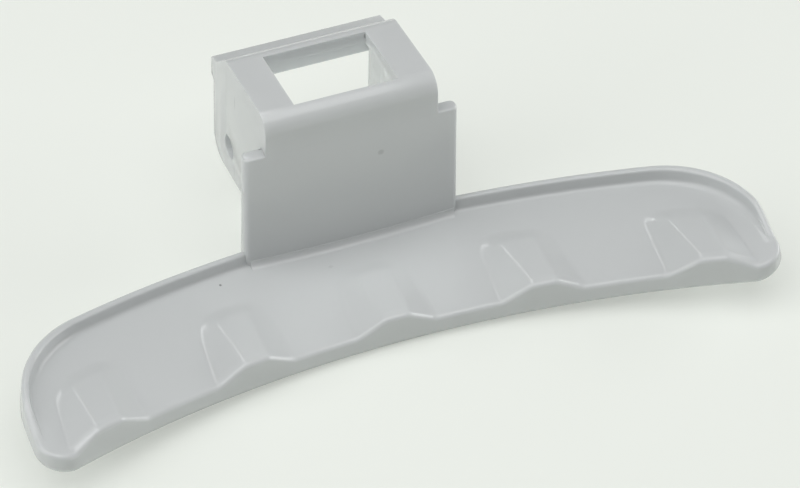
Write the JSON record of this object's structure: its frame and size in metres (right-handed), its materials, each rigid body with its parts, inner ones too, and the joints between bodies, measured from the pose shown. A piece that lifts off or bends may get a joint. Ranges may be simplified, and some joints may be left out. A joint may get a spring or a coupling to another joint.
{
  "type": "washing machine door handle",
  "caption": "Crescent pull grip with ridges along its finger edge, a plate standing from its back edge and a windowed hinge box with a pin bore.",
  "frame": {"origin": "on the surface the show face rests on, under the middle of the handle's bounding box", "axes": "+X along the grip, -Y to the finger edge, +Z out of the grip's back, the side the hinge box stands on"},
  "size_m": [0.16, 0.0774, 0.0444],
  "materials": {
    "handle_plastic": "glossy off-white moulded plastic"
  },
  "bodies": {
    "root": {"door_handle": "handle_plastic"}
  },
  "joints": []
}
